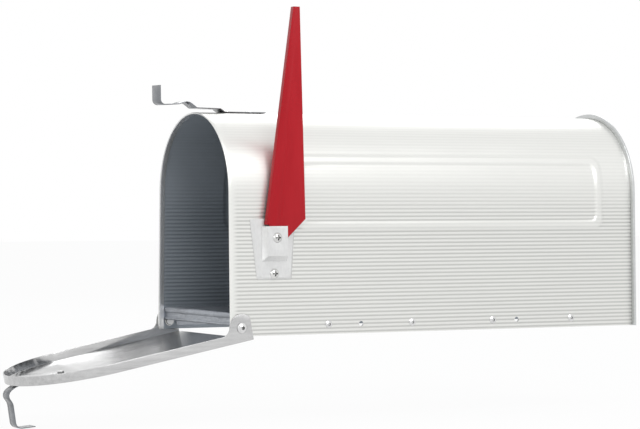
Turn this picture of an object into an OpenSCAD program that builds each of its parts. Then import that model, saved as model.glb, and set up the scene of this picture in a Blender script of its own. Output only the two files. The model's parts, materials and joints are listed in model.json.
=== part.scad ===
// Post-mounted rural mailbox: arched sheet-metal shell, drop-down door, raised signal flag.
// Millimetres. X runs across the box (flag side +X), the door faces -Y, Z is up.
// The origin is the centre of the floor's underside, where the mounting board seats.

/* [Shell] */
// Length of the shell from the mouth to the rear seam
shell_len = 471; // [390:1:570]
// Width across the bottom edges of the sides
shell_w = 166; // [138:1:200]
// Height of the sides up to the centre of the arch
side_h = 138; // [122:1:166]
// Distance that each side's bottom edge stands out past the arched top
side_out = 3; // [0.5:0.5:6]
// Thickness of the aluminium sheet
sheet = 0.8; // [0.6:0.1:1.2]
// Width of the hem folded inside the mouth
hem_w = 6; // [4:0.5:8]
// Height of the seam that joins the rear panel
seam_h = 4.9; // [4:0.1:7]

/* [Side beads] */
// Distance from the mouth to the bead's outer edge
bead_front = 72.5; // [72:0.5:110]
// Distance from the rear seam to the bead's outer edge
bead_rear = 36; // [20:1:80]
// Height of the bead's lower outer edge above the bottom edge
bead_low = 99.5; // [92:0.5:110]
// Height of the bead's outer edges, top to bottom
bead_h = 77.5; // [60:0.5:85]
// Width of the pressed bead
bead_w = 11.5; // [8:0.5:14]
// Height that the bead stands proud of the side
bead_rise = 1.2; // [0.9:0.1:2]

/* [Floor] */
// Height of the floor's underside above the bottom edges
deck_h = 21.6; // [20:0.1:26]
// Thickness of the galvanised floor sheet
floor_t = 0.8; // [0.6:0.1:1.2]
// Depth of the floor's front lip
lip_h = 13; // [9:0.5:15]
// Radius of the rolled bead along the top of the lip
lip_bead_r = 3.1; // [2:0.1:3.6]
// Height of the floor rivets and mounting screws above the bottom edges
fix_h = 9.4; // [8:0.1:11]
// Distance between neighbouring floor rivets
rivet_pitch = 95; // [60:1:100]
// Distance from the mouth to the first floor rivet
rivet_first = 108; // [60:1:110]
// Distance between the two mounting screw holes on a side
screw_spacing = 182; // [120:1:186]
// Diameter of a mounting screw hole
screw_hole_d = 5; // [3.5:0.5:6]

/* [Door] */
// Angle through which the door opens
door_open = 101; // [90:1:105]
// Distance from the mouth back to the hinge axis
hinge_back = 12.1; // [10:0.1:14]
// Height of the hinge axis above the bottom edges
hinge_h = 8.2; // [7.5:0.1:10]
// Clearance between the door's rim and the shell
door_gap = 0.7; // [0.6:0.05:1]
// Depth of the door's rim, outer face to free edge
rim_depth = 9.2; // [8:0.1:10]
// Depth of the door's plate below the hinge axis
door_drop = 10.2; // [9:0.1:11]
// Radius of the concave blend between rim and hinge ear
ear_blend = 9; // [6:0.5:12]
// Shank diameter of a hinge rivet
hinge_d = 4.8; // [4:0.1:5.5]
// Head diameter of a hinge rivet
hinge_head_d = 10.4; // [9:0.1:12]

/* [Latch] */
// Width of the door's latch strip
latch_w = 15; // [12:0.5:18]
// Width of the roof's catch strip
catch_w = 19; // [16:0.5:22]
// Thickness of both spring strips
strip_t = 0.9; // [0.7:0.1:1.2]

/* [Flag and bracket] */
// Distance from the mouth to the flag's pivot
pivot_back = 47.3; // [44:0.1:60]
// Height of the flag's pivot up the side
pivot_up = 94.8; // [90:0.1:110]
// Length of the flag above its pivot
flag_len = 224.7; // [180:1:250]
// Thickness of the flag's steel sheet
flag_t = 0.8; // [0.6:0.1:1]
// Depth of the flag's folded front flange
flag_flange = 5.3; // [4:0.1:5.4]
// Distance from the side to the bracket's flat face
base_rise = 2.4; // [2:0.1:2.6]
// Distance from the side to the pocket's outer face
pocket_rise = 9.4; // [9.2:0.1:11]
// Thickness of the bracket's sheet
bracket_t = 0.9; // [0.7:0.1:1]
// Distance from the pivot screw down to the lower screw
screw_drop = 34.8; // [33:0.1:37]
// Shank diameter of the two bracket screws
screw_d = 4.8; // [4:0.1:5]
// Head diameter of the two bracket screws
screw_head_d = 9.5; // [8:0.1:11]

/* [Clearances] */
// Radial clearance of a hinge rivet or pivot in the part that turns
run_gap = 0.05; // [0.03:0.01:0.09]
// Clearance between fixed sheets and fasteners
seat_gap = 0.1; // [0.05:0.05:0.2]
// Clearance between a turning face and a fixed one
turn_gap = 0.3; // [0.25:0.05:0.4]

/* [Hidden] */
$fn = 96;
front_y = -shell_len / 2;
rear_y = shell_len / 2;
arch_r = shell_w / 2 - side_out;
roof_h = side_h + arch_r;
// Angle by which the flat sides lean towards the arch
side_lean = acos(arch_r / norm([shell_w / 2, side_h])) - atan2(side_h, shell_w / 2);
half_x = shell_w;
// Keeps the sides' upper corners just inside the arch
tuck = 0.01;
door_skin = door_gap + sheet;
ear_r = hinge_back + door_skin - turn_gap / 3;
floor_front = hem_w + turn_gap;
flange_start = hinge_back + 8;
flange_low = 3.5;
floor_skin = sheet + seat_gap;
rivet_r = 2;
rivet_head_r = 3.7;
rivet_head_h = 1.2;
tail_r = 3.2;
tail_h = 1.5;
washer_r = 5.5;
washer_t = 1;
nut_across = 8;
nut_t = 3.2;
flag_face = pocket_rise - bracket_t - turn_gap;
tail_round = 8.2;
bush_r = 4.6;
spring_t = 0.6;
pocket_side_depth = pocket_rise - base_rise;
catch_rivet_back = [35.5, 60.5];
latch_rivet_drop = [17, 51.3];
fold_r = 3.4;

// Half width of the shell's section at height h, drawn in by off
function half_w(h, off = 0) = (arch_r - off + (side_h - h) * sin(side_lean)) / cos(side_lean);
function unit(v) = v / norm(v);
function left_of(v) = [-v[1], v[0]];
// Corner i of a strip of thickness t that follows the points p, on the side s (1 or -1)
function strip_corner(p, i, t, s) =
    let (last = len(p) - 1)
    let (a = unit(p[max(i, 1)] - p[max(i, 1) - 1]))
    let (b = unit(p[min(i, last - 1) + 1] - p[min(i, last - 1)]))
    let (m = unit(left_of(a) + left_of(b)))
    p[i] + s * t / 2 / (m * left_of(a)) * m;
// Points on an arc about c from angle a0 to angle a1
function arc(c, r, a0, a1, n) = [for (i = [0:n]) c + r * [cos(a0 + (a1 - a0) * i / n), sin(a0 + (a1 - a0) * i / n)]];

// The shell's arched section, drawn in by off, from height low upwards
module arch(off, low = 0) {
    r = arch_r - off;
    polygon([
        [-half_w(low, off), low],
        [half_w(low, off), low],
        [(r - tuck) * cos(side_lean), side_h + r * sin(side_lean)],
        [-(r - tuck) * cos(side_lean), side_h + r * sin(side_lean)]
    ]);
    translate([0, side_h]) circle(r);
}

// A section drawn in X and height, run along the box between two distances from the mouth
module along(a, b) {
    translate([0, front_y + b, -deck_h]) rotate([90, 0, 0]) linear_extrude(b - a) children();
}

// A band of the arched section between two offsets, open at the bottom
module band(a, b, outer, inner, low = 0) {
    along(a, b) difference() {
        arch(outer, low);
        arch(inner, low - 1);
    }
}

// An outline drawn in distance from the mouth and height, run across the box
module across(x0, x1) {
    translate([x0, front_y, -deck_h]) rotate([90, 0, 90]) linear_extrude(x1 - x0) children();
}

// The right side's own frame: X out from its face, Y back from the mouth, Z up its slope
module on_side() {
    translate([half_w(0), front_y, -deck_h]) rotate([0, -side_lean, 0]) children();
}

// An outline on the right side, run outwards between two distances from its face
module raised(x0, x1) {
    translate([x0, 0, 0]) rotate([90, 0, 90]) linear_extrude(x1 - x0) children();
}

// A round bar along local X at distance back from the mouth and height up
module bar(x0, x1, r, back, up) {
    translate([x0, back, up]) rotate([0, 90, 0]) cylinder(h = x1 - x0, r = r);
}

// A round bar across the box
module cross_bar(x0, x1, r, back, up) {
    translate([0, front_y, -deck_h]) bar(x0, x1, r, back, up);
}

// A strip of constant thickness along points given as distance from the mouth and height
module spring_strip(p, w) {
    last = len(p) - 1;
    across(-w / 2, w / 2) polygon(concat(
        [for (i = [0:last]) strip_corner(p, i, strip_t, 1)],
        [for (i = [0:last]) strip_corner(p, last - i, strip_t, -1)]
    ));
}

module round_rect(w, h, r) {
    translate([r, 0]) square([w - 2 * r, h]);
    translate([0, r]) square([w, h - 2 * r]);
    for (x = [r, w - r], y = [r, h - r]) translate([x, y]) circle(r);
}

// The bead's ring, narrowed by inset on each edge
module bead_ring(inset) {
    len = shell_len - bead_front - bead_rear;
    translate([bead_front + inset, bead_low + inset]) difference() {
        round_rect(len - 2 * inset, bead_h - 2 * inset, bead_w - inset);
        translate([bead_w - 2 * inset, bead_w - 2 * inset])
            round_rect(len - 2 * bead_w + 2 * inset, bead_h - 2 * bead_w + 2 * inset, bead_w / 2 + inset);
    }
}

module bead_band(inset, outer, inner) {
    intersection() {
        across(-half_x, half_x) bead_ring(inset);
        band(bead_front / 2, shell_len - bead_rear / 2, outer, inner);
    }
}

// Distances from the mouth to the four floor rivets and to the two mounting holes
function rivet_backs() = [for (i = [0:3]) rivet_first + i * rivet_pitch];
function screw_backs() = [shell_len / 2 - screw_spacing / 2, shell_len / 2 + screw_spacing / 2];

// Every hole through the flat sides near the bottom edges
module side_holes(side, with_hinge) {
    x0 = side > 0 ? half_x / 4 : -half_x;
    x1 = side > 0 ? half_x : -half_x / 4;
    for (b = rivet_backs()) cross_bar(x0, x1, rivet_r + seat_gap, b, fix_h);
    for (b = screw_backs()) cross_bar(x0, x1, screw_hole_d / 2, b, fix_h);
    if (with_hinge) cross_bar(x0, x1, hinge_d / 2 + seat_gap, hinge_back, hinge_h);
}

module bracket_holes(x0, x1, gap) {
    on_side() {
        bar(x0, x1, screw_d / 2 + gap, pivot_back, pivot_up);
        bar(x0, x1, screw_d / 2 + gap, pivot_back, pivot_up - screw_drop);
    }
}

module shell() {
    color([0.85, 0.86, 0.87]) difference() {
        union() {
            band(0, shell_len, 0, sheet);
            band(0, hem_w, sheet / 2, 2 * sheet);
            band(shell_len - sheet, shell_len, sheet + seat_gap - seam_h, sheet / 2);
            bead_band(0, -bead_rise, sheet / 2);
        }
        bead_band(bead_rise, sheet - bead_rise, sheet + 1);
        side_holes(1, true);
        side_holes(-1, true);
        // The lower front corners are rounded so that the door's foot swings past them
        across(-half_x, half_x) difference() {
            translate([-1, -1]) square([hinge_back + 1, hinge_h + 1]);
            translate([hinge_back, hinge_h]) circle(hinge_back + door_gap - turn_gap);
        }
        bracket_holes(-3 * sheet, bead_rise, seat_gap);
        for (b = catch_rivet_back)
            translate([0, front_y + b, side_h - deck_h]) cylinder(h = arch_r + 1, r = rivet_r + seat_gap);
    }
}

module rear_panel() {
    field = 16;
    field_rise = 2;
    wrap = shell_len - 2 * sheet - seat_gap;
    slot = shell_len - sheet - seat_gap;
    color([0.83, 0.84, 0.85]) difference() {
        union() {
            along(wrap, shell_len + sheet) arch(-seam_h);
            along(shell_len + sheet / 2, shell_len + field_rise + sheet) arch(field, field);
        }
        // The slot that the shell's flange fills, and the way in to it
        along(slot, shell_len) arch(sheet - seam_h, -1);
        along(wrap - 1, shell_len) arch(-seat_gap, -1);
        along(shell_len - 1, shell_len + field_rise) arch(field + sheet, field + sheet);
    }
}

// The floor's channel section: the deck and a flange down each side
module floor_section(low) {
    intersection() {
        difference() {
            arch(floor_skin, low);
            translate([0, -1]) intersection() {
                arch(floor_skin + floor_t, low - 1);
                translate([-half_x, low - 2]) square([2 * half_x, deck_h - low + 3]);
            }
        }
        translate([-half_x, low]) square([2 * half_x, deck_h + floor_t - low]);
    }
}

module floor_panel() {
    back = shell_len - seat_gap;
    lip_low = deck_h + floor_t - lip_h;
    lip_back = floor_front + lip_bead_r / 2;
    bead_up = deck_h + floor_t - lip_bead_r + 0.15;
    fold_low = 1.6;
    color([0.62, 0.66, 0.7]) difference() {
        union() {
            along(flange_start, back) floor_section(flange_low);
            along(floor_front + lip_bead_r, flange_start + 1) floor_section(deck_h - 0.01);
            // Front lip: a flat band with a folded lower edge, and a rolled bead above
            intersection() {
                across(-half_x, half_x) union() {
                    translate([lip_back, lip_low + fold_low]) square([floor_t, lip_h - fold_low - lip_bead_r]);
                    translate([lip_back + floor_t * 0.6, lip_low + fold_low]) circle(fold_low);
                    difference() {
                        translate([floor_front + lip_bead_r, bead_up]) circle(lip_bead_r);
                        // Flat behind, so that a board seats square under the floor
                        translate([floor_front + 1.5 * lip_bead_r, deck_h - 3 * lip_bead_r])
                            square([lip_bead_r, 3 * lip_bead_r]);
                    }
                }
                along(floor_front - 1, floor_front + 3 * lip_bead_r) arch(floor_skin);
            }
        }
        side_holes(1, false);
        side_holes(-1, false);
        // Scallops that clear the hinge rivets' washers
        for (side = [0, 1]) mirror([side, 0, 0])
            cross_bar(hinge_washer_x() - washer_t - tail_h - 1, half_x, washer_r + turn_gap, hinge_back, hinge_h);
    }
}

// A rivet along +X, its head's seat at x = 0 and its clinched tail's seat at x = -grip
module rivet(r, head_r, head_h, grip, clinch_r, clinch_h) {
    dome_r = (head_r * head_r + head_h * head_h) / 2 / head_h;
    rotate([0, 90, 0]) {
        difference() {
            intersection() {
                translate([0, 0, head_h - dome_r]) sphere(dome_r);
                cylinder(h = head_h, r = head_r);
            }
            translate([0, 0, head_h * 0.35]) cylinder(h = head_h, r = r * 0.72);
        }
        translate([0, 0, -grip - clinch_h / 2]) cylinder(h = grip + clinch_h / 2 + head_h * 0.2, r = r);
        translate([0, 0, -grip - clinch_h]) cylinder(h = clinch_h, r = clinch_r);
    }
}

module floor_rivets(side) {
    grip = sheet + seat_gap + floor_t + 2 * seat_gap;
    color([0.75, 0.76, 0.78])
        for (b = rivet_backs())
            translate([side * (half_w(fix_h) + seat_gap), front_y + b, fix_h - deck_h])
                rotate([0, side > 0 ? -side_lean : 180 + side_lean, 0])
                    rivet(rivet_r, rivet_head_r, rivet_head_h, grip, tail_r, tail_h);
}

module floor_rivets_right() { floor_rivets(1); }
module floor_rivets_left() { floor_rivets(-1); }

module roof_catch() {
    // Distance from the mouth and height above the roof, along the middle of the strip
    seat = strip_t / 2 + seat_gap / 2;
    run = [
        [76, seat], [31, seat], [26, 3.7], [0, 4.3], [-5, 8], [-8, 9.6], [-11, 10.1], [-14, 9.6],
        [-19, 7.9], [-34, 7.1]
    ];
    curl = arc([-34.5, 12], 4.9, 270, 180, 6);
    tip = [[-39.6, 26]];
    points = [for (p = concat(run, curl, tip)) p + [0, roof_h]];
    color([0.8, 0.8, 0.82]) difference() {
        spring_strip(points, catch_w);
        for (b = catch_rivet_back)
            translate([0, front_y + b, side_h - deck_h]) cylinder(h = arch_r + 9, r = rivet_r + seat_gap);
    }
}

module roof_catch_rivets() {
    color([0.75, 0.76, 0.78])
        for (b = catch_rivet_back)
            translate([0, front_y + b, roof_h + strip_t + 1.5 * seat_gap - deck_h])
                rotate([0, -90, 0])
                    rivet(rivet_r, rivet_head_r, rivet_head_h, sheet + strip_t + 2.5 * seat_gap, tail_r, tail_h);
}

// Turns what is drawn closed to the open position, about the hinge
module opened() {
    translate([0, front_y + hinge_back, hinge_h - deck_h])
        rotate([door_open, 0, 0])
            translate([0, -front_y - hinge_back, deck_h - hinge_h])
                children();
}

// The door's side outline: the rim, the hinge ear and the concave blend between them
module rim_outline() {
    free = rim_depth - door_skin;
    low = hinge_h - door_drop;
    reach = ear_r + ear_blend;
    blend_back = free + ear_blend;
    blend_rise = sqrt(reach * reach - pow(blend_back - hinge_back, 2));
    meet_back = hinge_back + (blend_back - hinge_back) * ear_r / reach;
    difference() {
        union() {
            translate([-door_skin, low]) square([rim_depth, roof_h + door_skin - low]);
            translate([hinge_back, hinge_h]) circle(ear_r);
            translate([0, hinge_h]) square([meet_back, blend_rise]);
        }
        translate([blend_back, hinge_h + blend_rise]) circle(ear_blend);
        translate([-2 * ear_r, low - 2 * ear_r]) square([6 * ear_r, 2 * ear_r]);
    }
}

module door_panel() {
    low = hinge_h - door_drop;
    color([0.88, 0.88, 0.88]) opened() difference() {
        union() {
            along(-door_skin, -door_gap) arch(-door_skin, low);
            intersection() {
                across(-half_x, half_x) rim_outline();
                band(-door_skin, hinge_back + 2 * ear_r, -door_skin, -door_gap, low);
            }
        }
        cross_bar(-half_x, half_x, hinge_d / 2 + run_gap, hinge_back, hinge_h);
        for (e = latch_rivet_drop)
            translate([0, front_y + 1, roof_h - e - deck_h])
                rotate([90, 0, 0]) cylinder(h = 2 * door_skin + 1, r = rivet_r + seat_gap);
    }
}

module door_latch() {
    // Distance in front of the door and height above the roof, along the middle of the strip
    seat = strip_t / 2 + seat_gap;
    run = [
        [seat, -62], [seat, -6], [1.7, -0.5], [3.2, 3.4], [5.2, 6.2], [7.4, 7.5], [9.5, 7.8], [11.6, 7.4],
        [14, 6.2], [16, 5.4], [18.5, 5.1], [35, 5.8]
    ];
    curl = arc([35.4, -0.4], 6.2, 80, 8, 5);
    tip = [[43, -13.3]];
    points = [for (p = concat(run, curl, tip)) [-door_skin - p[0], roof_h + p[1]]];
    color([0.72, 0.74, 0.76]) opened() difference() {
        spring_strip(points, latch_w);
        for (e = latch_rivet_drop)
            translate([0, front_y + 1, roof_h - e - deck_h])
                rotate([90, 0, 0]) cylinder(h = 3 * door_skin + 1, r = rivet_r + seat_gap);
    }
}

module door_latch_rivets() {
    grip = sheet + strip_t + 3 * seat_gap;
    color([0.8, 0.8, 0.8]) opened()
        for (e = latch_rivet_drop)
            translate([0, front_y - door_skin - strip_t - 2 * seat_gap, roof_h - e - deck_h])
                rotate([0, 0, -90]) rivet(rivet_r, rivet_head_r, rivet_head_h, grip, tail_r, tail_h);
}

// Where the hinge rivet's head and its washer seat, across the box
function hinge_head_x() = half_w(hinge_h, -door_skin) + turn_gap;
function hinge_washer_x() = half_w(hinge_h, sheet) - turn_gap;

module hinge_rivet() {
    head_h = 2.2;
    grip = hinge_head_x() - hinge_washer_x() + washer_t + seat_gap;
    color([0.85, 0.85, 0.85])
        translate([hinge_head_x(), front_y + hinge_back, hinge_h - deck_h])
            rivet(hinge_d / 2, hinge_head_d / 2, head_h, grip, hinge_d * 0.75, tail_h);
}

module hinge_rivet_right() { hinge_rivet(); }
module hinge_rivet_left() { mirror([1, 0, 0]) hinge_rivet(); }

module hinge_washer() {
    color([0.7, 0.72, 0.74]) difference() {
        cross_bar(hinge_washer_x() - washer_t, hinge_washer_x(), washer_r - 0.5, hinge_back, hinge_h);
        cross_bar(half_x / 4, half_x, hinge_d / 2 + seat_gap, hinge_back, hinge_h);
    }
}

module hinge_washer_right() { hinge_washer(); }
module hinge_washer_left() { mirror([1, 0, 0]) hinge_washer(); }

// Corners of the bracket's base, the lower two rounded; pressed() fills between them
module base_corners(inset) {
    r = 3;
    up = pivot_up + 18.4;
    low = pivot_up - 40.6 + inset * 0.7 + r;
    translate([pivot_back - 18.5 + inset + r, low]) circle(r, $fn = 24);
    translate([pivot_back + 20.1 - inset * 0.7 - r, low]) circle(r, $fn = 24);
    translate([pivot_back - 25.3 + inset, up - 1]) square([1, 1]);
    translate([pivot_back + 23.9 - inset * 0.7 - 1, up - 1]) square([1, 1]);
}

// The pocket's outline at its foot (rise 0) and at its face (rise 1), open at the top and rear
module pocket_outline(rise, wall, open) {
    x0 = pivot_back - 13.5 + 3.4 * rise + wall;
    x1 = pivot_back + 13.6 - 2.2 * rise + open;
    z0 = pivot_up - 23 + 5.2 * rise + wall;
    z1 = pivot_up + 11.2 + open;
    translate([x0, z0]) square([x1 - x0, z1 - z0]);
}

// A solid between an outline at x0 and another at x1
module pressed(x0, x1) {
    skin = 0.01;
    hull() {
        raised(x0, x0 + skin) children(0);
        raised(x1 - skin, x1) children(1);
    }
}

module flag_bracket() {
    edge = 3.4;
    color([0.88, 0.89, 0.9]) difference() {
        on_side() difference() {
            union() {
                pressed(seat_gap, base_rise) {
                    base_corners(0);
                    base_corners(edge);
                }
                pressed(base_rise - bracket_t / 2, pocket_rise) {
                    pocket_outline(0, 0, 0);
                    pocket_outline(1, 0, 0);
                }
            }
            pressed(-1, base_rise - bracket_t) {
                base_corners(bracket_t * 0.8);
                base_corners(edge + bracket_t * 0.8);
            }
            pressed(base_rise, pocket_rise - bracket_t) {
                pocket_outline(0, bracket_t * 1.1, 3);
                pocket_outline(1, bracket_t * 1.1, 3);
            }
        }
        bracket_holes(-1, 2 * pocket_rise, 2 * seat_gap);
    }
}

// The flag's flat outline, from the rounded tail to the slim tip
module flag_outline() {
    top = pivot_up + flag_len;
    shoulder = pivot_up + 12.7;
    polygon([
        [pivot_back - tail_round, pivot_up],
        [pivot_back - tail_round, shoulder],
        [pivot_back - 11, shoulder],
        [pivot_back + 20.6, top],
        [pivot_back + 27.6, top],
        [pivot_back + 31.5, pivot_up + 18],
        [pivot_back + tail_round * sin(41), pivot_up - tail_round * cos(41)]
    ]);
    translate([pivot_back, pivot_up]) circle(tail_round);
}

// The strip of the outline along the front edge, or along the rear edge above the corner
module front_edge() {
    top = pivot_up + flag_len;
    shoulder = pivot_up + 12.7;
    polygon([
        [pivot_back - 11, shoulder], [pivot_back + 20.6, top],
        [pivot_back + 20.6 + flag_t, top], [pivot_back - 11 + flag_t, shoulder]
    ]);
}

module rear_edge() {
    top = pivot_up + flag_len;
    polygon([
        [pivot_back + 31.5, pivot_up + 18], [pivot_back + 27.6, top],
        [pivot_back + 27.6 - flag_t, top], [pivot_back + 31.5 - flag_t, pivot_up + 18]
    ]);
}

module flag() {
    color([0.75, 0.05, 0.1]) on_side() difference() {
        union() {
            raised(flag_face - flag_t, flag_face) flag_outline();
            raised(flag_face - flag_flange, flag_face) front_edge();
            raised(flag_face - flag_flange / 2, flag_face) rear_edge();
            raised(flag_face - flag_flange, flag_face) translate([pivot_back + 20.6, pivot_up + flag_len - flag_t])
                square([7, flag_t]);
        }
        bar(0, 2 * pocket_rise, screw_d / 2 + run_gap, pivot_back, pivot_up);
    }
}

// A pan-head screw with a cross recess, its head's seat at x0 and its tip at x1
module pan_screw(x0, x1, back, up) {
    head_h = 2.6;
    r = screw_head_d / 2;
    dome_r = (r * r + head_h * head_h) / 2 / head_h;
    slot = 1.5;
    translate([x0, back, up]) rotate([0, 90, 0]) difference() {
        union() {
            intersection() {
                translate([0, 0, head_h - dome_r]) sphere(dome_r);
                cylinder(h = head_h, r = r);
            }
            translate([0, 0, x1 - x0]) cylinder(h = x0 - x1 + head_h * 0.2, r = screw_d / 2);
        }
        for (a = [0, 90])
            rotate([0, 0, a]) translate([-r * 0.55, -slot / 2, head_h * 0.4]) cube([r * 1.1, slot, head_h]);
    }
}

// Where the inside washers and nuts seat, measured out from the side's face
washer_x = -sheet - seat_gap;
nut_x = washer_x - washer_t - seat_gap;
screw_tip = nut_x - nut_t - 1;

module flag_pivot_screw() {
    color([0.82, 0.83, 0.84]) on_side() pan_screw(pocket_rise + seat_gap, screw_tip, pivot_back, pivot_up);
}

module bracket_screw() {
    color([0.82, 0.83, 0.84]) on_side() pan_screw(base_rise + seat_gap, screw_tip, pivot_back, pivot_up - screw_drop);
}

// The flag turns between the pocket's face and this bush, held by the spring washer
bush_top = flag_face - flag_t - turn_gap - spring_t - turn_gap / 2;

module flag_bush() {
    color([0.7, 0.71, 0.72]) on_side() difference() {
        bar(base_rise + seat_gap, bush_top, bush_r, pivot_back, pivot_up);
        bar(0, pocket_rise, screw_d / 2 + seat_gap, pivot_back, pivot_up);
    }
}

module flag_spring_washer() {
    color([0.7, 0.71, 0.72]) on_side() difference() {
        bar(bush_top + turn_gap / 2, bush_top + turn_gap / 2 + spring_t, bush_r + 0.8, pivot_back, pivot_up);
        bar(0, pocket_rise, screw_d / 2 + seat_gap, pivot_back, pivot_up);
    }
}

module bracket_washers() {
    color([0.75, 0.76, 0.77]) on_side() for (up = [pivot_up, pivot_up - screw_drop]) difference() {
        bar(washer_x - washer_t, washer_x, washer_r, pivot_back, up);
        bar(washer_x - 2 * washer_t, 1, screw_d / 2 + seat_gap, pivot_back, up);
    }
}

module bracket_nuts() {
    color([0.75, 0.76, 0.77]) on_side() for (up = [pivot_up, pivot_up - screw_drop]) difference() {
        translate([nut_x - nut_t, pivot_back, up]) rotate([0, 90, 0])
            cylinder(h = nut_t, r = nut_across / 2 / cos(30), $fn = 6);
        bar(nut_x - 2 * nut_t, 1, screw_d / 2 + seat_gap / 2, pivot_back, up);
    }
}

shell();
rear_panel();
floor_panel();
floor_rivets_right();
floor_rivets_left();
roof_catch();
roof_catch_rivets();
door_panel();
door_latch();
door_latch_rivets();
hinge_rivet_right();
hinge_rivet_left();
hinge_washer_right();
hinge_washer_left();
flag_bracket();
flag();
flag_pivot_screw();
flag_bush();
flag_spring_washer();
bracket_screw();
bracket_washers();
bracket_nuts();
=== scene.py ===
"""Looks of the arched rural mailbox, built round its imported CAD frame. Metres, in the CAD's own frame."""

import json
import math

import bmesh
import bpy
import numpy as np
from mathutils import Matrix, Vector

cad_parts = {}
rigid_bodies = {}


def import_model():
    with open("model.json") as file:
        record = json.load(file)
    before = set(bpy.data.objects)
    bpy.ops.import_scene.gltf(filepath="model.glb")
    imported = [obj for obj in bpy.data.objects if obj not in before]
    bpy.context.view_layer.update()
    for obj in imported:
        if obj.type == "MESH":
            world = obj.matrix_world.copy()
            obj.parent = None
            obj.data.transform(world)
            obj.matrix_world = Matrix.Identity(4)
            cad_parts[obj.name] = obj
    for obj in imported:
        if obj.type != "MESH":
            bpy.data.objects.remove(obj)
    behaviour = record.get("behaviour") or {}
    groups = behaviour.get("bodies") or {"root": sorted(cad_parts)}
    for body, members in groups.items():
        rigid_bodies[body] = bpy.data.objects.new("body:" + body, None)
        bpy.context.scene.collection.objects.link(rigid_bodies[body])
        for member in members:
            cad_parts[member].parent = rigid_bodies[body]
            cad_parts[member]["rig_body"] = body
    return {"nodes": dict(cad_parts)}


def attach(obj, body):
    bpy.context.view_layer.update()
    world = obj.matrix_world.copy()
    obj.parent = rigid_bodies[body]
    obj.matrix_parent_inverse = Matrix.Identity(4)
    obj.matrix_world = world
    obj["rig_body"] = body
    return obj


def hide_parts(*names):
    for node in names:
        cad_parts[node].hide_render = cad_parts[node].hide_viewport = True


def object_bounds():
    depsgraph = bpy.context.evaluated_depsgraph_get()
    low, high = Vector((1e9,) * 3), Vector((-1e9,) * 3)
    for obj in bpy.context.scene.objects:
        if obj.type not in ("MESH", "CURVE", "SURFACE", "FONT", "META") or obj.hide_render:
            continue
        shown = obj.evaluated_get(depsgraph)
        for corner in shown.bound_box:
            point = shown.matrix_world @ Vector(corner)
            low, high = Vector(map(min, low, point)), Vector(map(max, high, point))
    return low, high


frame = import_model()
cad_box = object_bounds()
scene = bpy.context.scene
scene.view_settings.view_transform = "Standard"

# ---------------------------------------------------------------- sizes in mm, as in the CAD
SHELL_LEN, SHELL_W, SIDE_H, ARCH_R = 471.0, 166.0, 138.0, 80.0
SHEET, HEM_W, DECK_H = 0.8, 6.0, 21.6
HINGE_BACK, HINGE_H, CORNER_R = 12.1, 8.2, 12.5
BEAD_FRONT, BEAD_REAR, BEAD_LOW, BEAD_H, BEAD_W, BEAD_RISE = 72.5, 36.0, 99.5, 77.5, 11.5, 1.2
FIX_H, SCREW_BACKS, SCREW_HOLE_R = 9.4, (144.5, 326.5), 2.5
RIB_DEPTH = 0.24
RIBS = 140
RIB_STEPS = 5
LEAN = math.acos(ARCH_R / math.hypot(SHELL_W / 2, SIDE_H)) - math.atan2(SIDE_H, SHELL_W / 2)
SIDE_RUN = math.sqrt((SHELL_W / 2) ** 2 + SIDE_H**2 - ARCH_R**2)
TURN_RUN = ARCH_R * (math.pi - 2 * LEAN)
BEAD_SLOPE = 4.2
# distances from the mouth at which the shell's mesh has a row of points, close together at beads and holes
BACKS = (
    [0, 0.25, 0.8, 3.5, 5.8, 6.2, 9, 30, 52, 67]
    + [70.5 + 1.25 * i for i in range(14)]
    + [104, 139, 141.3, 147.7, 150, 200, 250, 300, 321, 323.3, 329.7, 332, 370, 400, 415]
    + [421 + 1.25 * i for i in range(13)]
    + [444, 456, 467, 470.2, 471]
)


# ---------------------------------------------------------------- material helpers
def new_material(name):
    mat = bpy.data.materials.new(name)
    mat.use_nodes = True
    nodes, links = mat.node_tree.nodes, mat.node_tree.links
    return mat, nodes, links, nodes["Principled BSDF"]


def coords(nodes, links, scale):
    tex = nodes.new("ShaderNodeTexCoord")
    mapping = nodes.new("ShaderNodeMapping")
    mapping.inputs["Scale"].default_value = scale
    links.new(tex.outputs["Object"], mapping.inputs["Vector"])
    return mapping.outputs["Vector"]


def noise(nodes, links, scale, detail=4.0, rough=0.55):
    tex = nodes.new("ShaderNodeTexNoise")
    tex.inputs["Scale"].default_value = 1.0
    tex.inputs["Detail"].default_value = detail
    tex.inputs["Roughness"].default_value = rough
    links.new(coords(nodes, links, scale), tex.inputs["Vector"])
    return tex.outputs["Fac"]


def ramp(nodes, links, value, stops):
    node = nodes.new("ShaderNodeValToRGB")
    while len(node.color_ramp.elements) < len(stops):
        node.color_ramp.elements.new(0.5)
    for element, (place, colour) in zip(node.color_ramp.elements, stops):
        element.position = place
        element.color = (*colour, 1.0)
    links.new(value, node.inputs["Fac"])
    return node.outputs["Color"]


def grey(v, tint=(1.0, 1.0, 1.0)):
    return tuple(v * t for t in tint)


def times_plus(nodes, links, value, factor, extra=None):
    """value * factor + extra."""
    node = nodes.new("ShaderNodeMath")
    node.operation = "MULTIPLY_ADD"
    node.inputs[1].default_value = factor
    node.inputs[2].default_value = 0.0
    links.new(value, node.inputs[0])
    if extra is not None:
        links.new(extra, node.inputs[2])
    return node.outputs[0]


def rough_between(nodes, links, bsdf, value, limits):
    """Roughness that follows a noise value between two limits."""
    node = nodes.new("ShaderNodeMapRange")
    node.inputs["From Min"].default_value = 0.3
    node.inputs["From Max"].default_value = 0.7
    node.inputs["To Min"].default_value = limits[0]
    node.inputs["To Max"].default_value = limits[1]
    links.new(value, node.inputs["Value"])
    links.new(node.outputs["Result"], bsdf.inputs["Roughness"])


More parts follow.
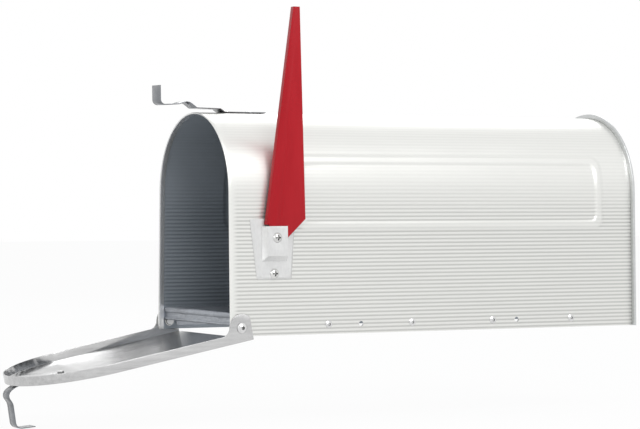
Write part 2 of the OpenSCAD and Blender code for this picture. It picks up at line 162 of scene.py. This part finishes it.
def bump(nodes, links, bsdf, height, strength, distance):
    node = nodes.new("ShaderNodeBump")
    node.inputs["Strength"].default_value = strength
    node.inputs["Distance"].default_value = distance
    links.new(height, node.inputs["Height"])
    links.new(node.outputs["Normal"], bsdf.inputs["Normal"])


def sheet_metal(
    name, low, high, tint=(1, 1, 1), metallic=0.9, rough=(0.25, 0.4),
    grain=(30, 30, 900), crinkle=0.0, spangle=0.0,
):
    """Rolled sheet: brushed grain, blotchy roughness, and crinkles or spangle where asked."""
    mat, nodes, links, bsdf = new_material(name)
    bsdf.inputs["Metallic"].default_value = metallic
    brushed = noise(nodes, links, grain, 3.0)
    blotch = noise(nodes, links, (14, 14, 14), 5.0)
    shade = times_plus(nodes, links, brushed, 0.45, times_plus(nodes, links, blotch, 0.55))
    if spangle:
        cells = nodes.new("ShaderNodeTexVoronoi")
        cells.inputs["Scale"].default_value = 1.0
        links.new(coords(nodes, links, (260, 260, 260)), cells.inputs["Vector"])
        shade = times_plus(nodes, links, cells.outputs["Color"], spangle, shade)
    colour = ramp(nodes, links, shade, [(0.3, grey(low, tint)), (0.7, grey(high, tint))])
    links.new(colour, bsdf.inputs["Base Color"])
    rough_between(nodes, links, bsdf, blotch, rough)
    if crinkle:
        wavy = noise(nodes, links, (90, 60, 150), 4.0, 0.6)
        bump(nodes, links, bsdf, wavy, 1.0, crinkle)
    else:
        bump(nodes, links, bsdf, brushed, 0.05, 0.0004)
    return mat


def shell_metal_groove_shade(name, crest, groove, metallic, rough):
    """The ribbed sheet, with painted shade in the grooves: the base colour darkens where the mesh's rib
    attribute is high.
    """
    mat, nodes, links, bsdf = new_material(name)
    bsdf.inputs["Metallic"].default_value = metallic
    rib = nodes.new("ShaderNodeAttribute")
    rib.attribute_name = "rib"
    cloud = noise(nodes, links, (9, 5, 16), 4.0)
    fine = noise(nodes, links, (60, 8, 420), 1.0)
    # painted shade: groove depth plus fine streaks moves the base colour from the crest colour to the darker
    # groove colour
    depth = times_plus(nodes, links, fine, 0.16, rib.outputs["Fac"])
    links.new(ramp(nodes, links, depth, [(0.06, crest), (0.95, groove)]), bsdf.inputs["Base Color"])
    rough_between(nodes, links, bsdf, cloud, rough)
    bump(nodes, links, bsdf, fine, 0.02, 0.0002)
    return mat


def paint(name, deep, face):
    """Glossy red enamel with a faint orange peel and slow waves in the sheet."""
    mat, nodes, links, bsdf = new_material(name)
    bsdf.inputs["Roughness"].default_value = 0.32
    bsdf.inputs["Coat Weight"].default_value = 0.06
    bsdf.inputs["Specular IOR Level"].default_value = 0.22
    bsdf.inputs["Coat Roughness"].default_value = 0.12
    slow = noise(nodes, links, (30, 45, 9), 3.0)
    links.new(ramp(nodes, links, slow, [(0.32, deep), (0.68, face)]), bsdf.inputs["Base Color"])
    peel = noise(nodes, links, (420, 420, 420), 2.0)
    waves = noise(nodes, links, (60, 160, 22), 2.0)
    bump(nodes, links, bsdf, times_plus(nodes, links, peel, 0.08, waves), 0.2, 0.0008)
    return mat


# ---------------------------------------------------------------- the ribbed shell
def section_point(s):
    """Point and outward normal of the shell's outer section at arc length s, from the right bottom edge."""
    if s > SIDE_RUN + TURN_RUN / 2:
        x, z, nx, nz = section_point(2 * SIDE_RUN + TURN_RUN - s)
        return -x, z, -nx, nz
    if s <= SIDE_RUN:
        f = s / SIDE_RUN
        x0, z0 = SHELL_W / 2, 0.0
        x1, z1 = ARCH_R * math.cos(LEAN), SIDE_H + ARCH_R * math.sin(LEAN)
        return x0 + (x1 - x0) * f, z0 + (z1 - z0) * f, math.cos(LEAN), math.sin(LEAN)
    a = LEAN + (s - SIDE_RUN) / ARCH_R
    return ARCH_R * math.cos(a), SIDE_H + ARCH_R * math.sin(a), math.cos(a), math.sin(a)


def smooth(x):
    x = np.clip(x, 0.0, 1.0)
    return x * x * (3 - 2 * x)


def rect_distance(u, v, x0, y0, x1, y1, r):
    """Signed distance to a rounded rectangle, positive outside."""
    cx, cy, hx, hy = (x0 + x1) / 2, (y0 + y1) / 2, (x1 - x0) / 2 - r, (y1 - y0) / 2 - r
    dx, dy = np.abs(u - cx) - hx, np.abs(v - cy) - hy
    return np.hypot(np.maximum(dx, 0), np.maximum(dy, 0)) + np.minimum(np.maximum(dx, dy), 0) - r


def bead_height(back, up):
    far, top = SHELL_LEN - BEAD_REAR, BEAD_LOW + BEAD_H
    w = BEAD_W
    outer = -rect_distance(back, up, BEAD_FRONT, BEAD_LOW, far, top, w)
    inner = rect_distance(back, up, BEAD_FRONT + w, BEAD_LOW + w, far - w, top - w, w / 2)
    return smooth(np.minimum(outer, inner) / BEAD_SLOPE)


def make_shell():
    total = 2 * SIDE_RUN + TURN_RUN
    count = RIBS * RIB_STEPS
    s = np.linspace(0, total, count + 1)
    sec = np.array([section_point(v) for v in s])
    phase = s / total * RIBS * 2 * np.pi
    groove = ((1 - np.cos(phase)) / 2) ** 1.8
    low = np.minimum(s, total - s)
    on_roof = smooth((low - SIDE_RUN + 32) / 46)
    groove = groove * (1 - 0.88 * on_roof)
    backs = np.array(BACKS)
    U, B = np.meshgrid(np.arange(count + 1), backs, indexing="ij")
    up = sec[U, 1]
    bead = bead_height(B, up)
    fade = smooth((B - 3.5) / 5.5) * (1 - 0.62 * bead)
    rib = groove[U] * fade
    # the hem: a rounded nose, then a double thickness for its width
    nose = np.where(B < 0.1, -SHEET, np.where(B < 0.5, -0.25, 0.0))
    outer = nose + BEAD_RISE * bead - RIB_DEPTH * rib
    thick = np.where(B < 0.1, 0.02, np.where(B < 0.5, 1.1, np.where(B < HEM_W, 2 * SHEET, SHEET)))
    rib_in = rib * smooth((up - DECK_H - 1) / 3)
    inner = nose + BEAD_RISE * bead - RIB_DEPTH * rib_in - thick
    inner = np.where(B < HEM_W, nose - thick, inner)

    def place(off):
        x = sec[U, 0] + sec[U, 2] * off
        z = sec[U, 1] + sec[U, 3] * off
        z = np.where(U == 0, 0.0, np.where(U == count, 0.0, z))
        y = B.copy()
        # the lower front corner is rounded about the hinge so that the door's foot clears it
        dy, dz = y - HINGE_BACK, z - HINGE_H
        far = np.hypot(dy, dz)
        corner = (dy < 0) & (dz < 0) & (far > CORNER_R)
        k = np.where(corner, CORNER_R / np.maximum(far, 1e-6), 1.0)
        y, z = HINGE_BACK + dy * k, HINGE_H + dz * k
        return np.stack([x, y - SHELL_LEN / 2, z - DECK_H], -1).reshape(-1, 3) / 1000

    n = len(backs)
    verts = np.concatenate([place(outer), place(inner)])
    base = (count + 1) * n
    faces, kinds = [], []
    for i in range(count):
        for j in range(n - 1):
            a, b, c, d = i * n + j, i * n + j + 1, (i + 1) * n + j + 1, (i + 1) * n + j
            faces.append((a, b, c, d))
            kinds.append(0)
            faces.append((base + d, base + c, base + b, base + a))
            kinds.append(2 if backs[j] < HEM_W - 0.1 else 1)
    for i in range(count):
        a, d = i * n, (i + 1) * n
        faces.append((a, d, base + d, base + a))
        faces.append((a + n - 1, base + a + n - 1, base + d + n - 1, d + n - 1))
        kinds += [2, 0]
    last = count * n
    for j in range(n - 1):
        faces.append((j, base + j, base + j + 1, j + 1))
        faces.append((last + j, last + j + 1, base + last + j + 1, base + last + j))
        kinds += [0, 0]
    mesh = bpy.data.meshes.new("shell_skin")
    mesh.from_pydata([tuple(v) for v in verts], [], faces)
    mesh.validate()
    # the rib attribute is the groove depth; the shell materials darken the base colour with it as painted
    # shade
    attribute = mesh.attributes.new("rib", "FLOAT", "POINT")
    attribute.data.foreach_set("value", np.concatenate([rib.ravel(), rib_in.ravel()]).astype(np.float32))
    mesh.polygons.foreach_set("material_index", kinds)
    mesh.polygons.foreach_set("use_smooth", [True] * len(mesh.polygons))
    obj = bpy.data.objects.new("shell_skin", mesh)
    scene.collection.objects.link(obj)
    return obj


def drill(obj, backs, up, radius):
    """Round holes through both sides of obj, at these distances from the mouth and at this height."""
    bm = bmesh.new()
    for back in backs:
        turn = Matrix.Rotation(math.pi / 2, 4, "Y")
        shift = Matrix.Translation((0, (back - SHELL_LEN / 2) / 1000, (up - DECK_H) / 1000))
        r = radius / 1000
        bmesh.ops.create_cone(
            bm, cap_ends=True, segments=32, radius1=r, radius2=r, depth=0.3, matrix=shift @ turn
        )
    mesh = bpy.data.meshes.new("drill")
    bm.to_mesh(mesh)
    bm.free()
    cutter = bpy.data.objects.new("drill", mesh)
    scene.collection.objects.link(cutter)
    cut = obj.modifiers.new("holes", "BOOLEAN")
    cut.operation = "DIFFERENCE"
    cut.solver = "EXACT"
    cut.object = cutter
    bpy.context.view_layer.update()
    done = bpy.data.meshes.new_from_object(obj.evaluated_get(bpy.context.evaluated_depsgraph_get()))
    obj.modifiers.clear()
    obj.data = done
    done.set_sharp_from_angle(angle=math.radians(50))
    bpy.data.objects.remove(cutter)


# ---------------------------------------------------------------- CAD pieces with rolled edges
def softened(node, width, material):
    """A copy of a CAD node with its sharp edges rolled over by width mm."""
    source = frame["nodes"][node]
    bm = bmesh.new()
    bm.from_mesh(source.data)
    bmesh.ops.remove_doubles(bm, verts=bm.verts, dist=2e-6)
    bmesh.ops.dissolve_limit(bm, angle_limit=math.radians(0.6), verts=bm.verts, edges=bm.edges)
    for f in bm.faces:
        f.smooth = True
        f.material_index = 0
    mesh = bpy.data.meshes.new(node + "_skin")
    bm.to_mesh(mesh)
    bm.free()
    obj = bpy.data.objects.new(node + "_skin", mesh)
    scene.collection.objects.link(obj)
    mesh.materials.clear()
    mesh.materials.append(material)
    bevel = obj.modifiers.new("rolled", "BEVEL")
    bevel.width = width / 1000
    bevel.segments = 2
    bevel.limit_method = "ANGLE"
    bevel.angle_limit = math.radians(28)
    bevel.use_clamp_overlap = True
    bevel.harden_normals = True
    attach(obj, source["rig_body"])
    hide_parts(node)
    return obj


def paint_recess_shade(mat, reach):
    """Painted shade: ambient occlusion darkens the base colour in a fastener's recess and round its foot."""
    nodes, links = mat.node_tree.nodes, mat.node_tree.links
    bsdf = nodes["Principled BSDF"]
    shade = bsdf.inputs["Base Color"].links[0].from_socket
    # painted shade: the occlusion value scales the base colour down to near black where the surface is
    # enclosed
    hollow = nodes.new("ShaderNodeAmbientOcclusion")
    hollow.inputs["Distance"].default_value = reach
    fade = ramp(nodes, links, hollow.outputs["AO"], [(0.45, (0.02, 0.02, 0.02)), (0.85, (1, 1, 1))])
    mix = nodes.new("ShaderNodeMix")
    mix.data_type = "RGBA"
    mix.blend_type = "MULTIPLY"
    mix.inputs["Factor"].default_value = 1.0
    links.new(shade, mix.inputs[6])
    links.new(fade, mix.inputs[7])
    links.new(mix.outputs[2], bsdf.inputs["Base Color"])
    return mat


def dress(node, material):
    data = frame["nodes"][node].data
    data.materials.clear()
    data.materials.append(material)


# outside of the shell: the groove colour is painted shade, darker than the crest colour
ribbed = shell_metal_groove_shade("ribbed_outside", (0.83, 0.83, 0.80), (0.55, 0.55, 0.53), 0.72, (0.29, 0.38))
# inner faces of the same sheet: a darker, bluer copy of the outside colour, painted shade for the inside of
# the box
shaded_inside = shell_metal_groove_shade("ribbed_inside", (0.40, 0.44, 0.48), (0.24, 0.27, 0.30), 0.35, (0.42, 0.55))
hem = sheet_metal("hem", 0.78, 0.9, metallic=0.7, rough=(0.2, 0.26))
rear_metal = sheet_metal("rear_sheet", 0.55, 0.68, (0.98, 1.0, 1.0), rough=(0.29, 0.42), grain=(30, 30, 500))
door_metal = sheet_metal("door_sheet", 0.46, 0.66, rough=(0.16, 0.26), grain=(300, 20, 300))
zinc_sheet = sheet_metal(
    "floor_sheet", 0.30, 0.50, (0.93, 0.98, 1.06), 0.75, (0.3, 0.5), crinkle=0.0022, spangle=0.12
)
spring_steel = sheet_metal(
    "spring_steel", 0.10, 0.30, (0.95, 0.99, 1.05), 0.95, (0.18, 0.26), grain=(30, 900, 30)
)
rivet_metal = sheet_metal("rivet_metal", 0.60, 0.78, metallic=0.9, rough=(0.2, 0.26), grain=(300, 300, 300))
bracket_sheet = sheet_metal(
    "bracket_sheet", 0.68, 0.80, (1.0, 1.0, 0.99), 0.6, (0.29, 0.4), grain=(200, 400, 200)
)
zinc = sheet_metal("zinc_plate", 0.62, 0.80, (1.0, 1.0, 0.98), 0.85, (0.2, 0.26), grain=(300, 300, 300))
# painted shade in the recesses of screws, washers, nuts, the flag bracket and the rivets
paint_recess_shade(zinc, 0.003)
paint_recess_shade(bracket_sheet, 0.0015)
paint_recess_shade(rivet_metal, 0.003)
red = paint("red_enamel", (0.40, 0.003, 0.010), (0.46, 0.008, 0.016))

shell = make_shell()
for m in (ribbed, shaded_inside, hem):
    shell.data.materials.append(m)
drill(shell, SCREW_BACKS, FIX_H, SCREW_HOLE_R)
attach(shell, "mailbox")
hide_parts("shell")

SKINS = [
    ("rear_panel", 0.5, rear_metal, "rear_aluminium"),
    ("door_panel", 0.3, door_metal, "door_aluminium"),
    ("floor_panel", 0.3, zinc_sheet, "galvanised_sheet"),
    ("roof_catch", 0.22, spring_steel, "spring_strip"),
    ("door_latch", 0.22, spring_steel, "spring_strip"),
    ("flag_bracket", 0.45, bracket_sheet, "bracket_metal"),
    ("flag", 0.3, red, "red_paint"),
]
for node, width, material, slot in SKINS:
    softened(node, width, material)

for node in frame["nodes"]:
    if "rivets" in node or node.startswith("hinge_rivet"):
        dress(node, rivet_metal)
    elif "screw" in node or "washer" in node or "nuts" in node or "bush" in node:
        dress(node, zinc)

# ---------------------------------------------------------------- camera at the photograph's angle
YAW, DOWN = math.radians(61.6026), math.radians(0.4587)
forward = Vector((-math.sin(YAW) * math.cos(DOWN), math.cos(YAW) * math.cos(DOWN), -math.sin(DOWN)))
right = Vector((math.cos(YAW), math.sin(YAW), 0))
above = right.cross(forward)
camera = bpy.data.objects.new("camera", bpy.data.cameras.new("camera"))
scene.collection.objects.link(camera)
camera.matrix_world = Matrix.Translation((2.28869, -1.33004, 0.11566)) @ Matrix(
    (right, above, -forward)
).transposed().to_4x4()
camera.data.lens = 144.14
camera.data.sensor_width = 36.0
camera.data.clip_start, camera.data.clip_end = 0.05, 100.0
scene.camera = camera


# ---------------------------------------------------------------- floor, world and lamps
def seen_white(nodes, links, shader, keep):
    """Camera, mirror and clear-glass rays see white, with keep of the shader's own shading."""
    path = nodes.new("ShaderNodeLightPath")
    rays = path.outputs["Is Camera Ray"]
    for name in ("Is Glossy Ray", "Is Transmission Ray"):
        either = nodes.new("ShaderNodeMath")
        either.operation = "MAXIMUM"
        links.new(rays, either.inputs[0])
        links.new(path.outputs[name], either.inputs[1])
        rays = either.outputs[0]
    share = nodes.new("ShaderNodeMath")
    share.operation = "MULTIPLY"
    share.inputs[1].default_value = 1 - keep
    links.new(rays, share.inputs[0])
    white = nodes.new("ShaderNodeEmission")
    mix = nodes.new("ShaderNodeMixShader")
    links.new(share.outputs[0], mix.inputs["Fac"])
    links.new(shader, mix.inputs[1])
    links.new(white.outputs[0], mix.inputs[2])
    return mix.outputs[0]


def make_floor():
    z = cad_box[0].z - 0.0005
    bm = bmesh.new()
    for x, y in ((-9, -9), (9, -9), (9, 9), (-9, 9)):
        bm.verts.new((x, y, z))
    bm.faces.new(bm.verts)
    mesh = bpy.data.meshes.new("floor")
    bm.to_mesh(mesh)
    bm.free()
    floor = bpy.data.objects.new("floor", mesh)
    scene.collection.objects.link(floor)
    mat, nodes, links, bsdf = new_material("pale_floor")
    bsdf.inputs["Base Color"].default_value = (0.9, 0.9, 0.9, 1)
    bsdf.inputs["Roughness"].default_value = 0.9
    out = nodes["Material Output"]
    links.new(seen_white(nodes, links, bsdf.outputs[0], 0.05), out.inputs["Surface"])
    mesh.materials.append(mat)


def make_world():
    world = bpy.data.worlds.new("studio")
    scene.world = world
    world.use_nodes = True
    nodes, links = world.node_tree.nodes, world.node_tree.links
    soft = nodes["Background"]
    soft.inputs["Color"].default_value = (0.93, 0.96, 1.0, 1)
    soft.inputs["Strength"].default_value = 0.5
    links.new(seen_white(nodes, links, soft.outputs[0], 0.0), nodes["World Output"].inputs["Surface"])


def lamp(name, place, aim, size, watts, colour=(1, 1, 1)):
    light = bpy.data.lights.new(name, "AREA")
    light.shape = "RECTANGLE"
    light.size, light.size_y = size
    light.energy = watts
    light.color = colour
    obj = bpy.data.objects.new(name, light)
    obj.location = place
    obj.rotation_mode = "QUATERNION"
    obj.rotation_quaternion = (Vector(aim) - Vector(place)).to_track_quat("-Z", "Y")
    scene.collection.objects.link(obj)


make_floor()
make_world()
lamp("key", (1.9, -0.2, 1.7), (0, 0, 0.08), (1.6, 1.4), 28)
lamp("front", (0.9, -2.4, 0.9), (0, -0.1, 0.05), (1.2, 1.0), 5)
lamp("fill", (-1.8, 1.2, 1.5), (0, 0, 0.1), (1.5, 1.5), 12)
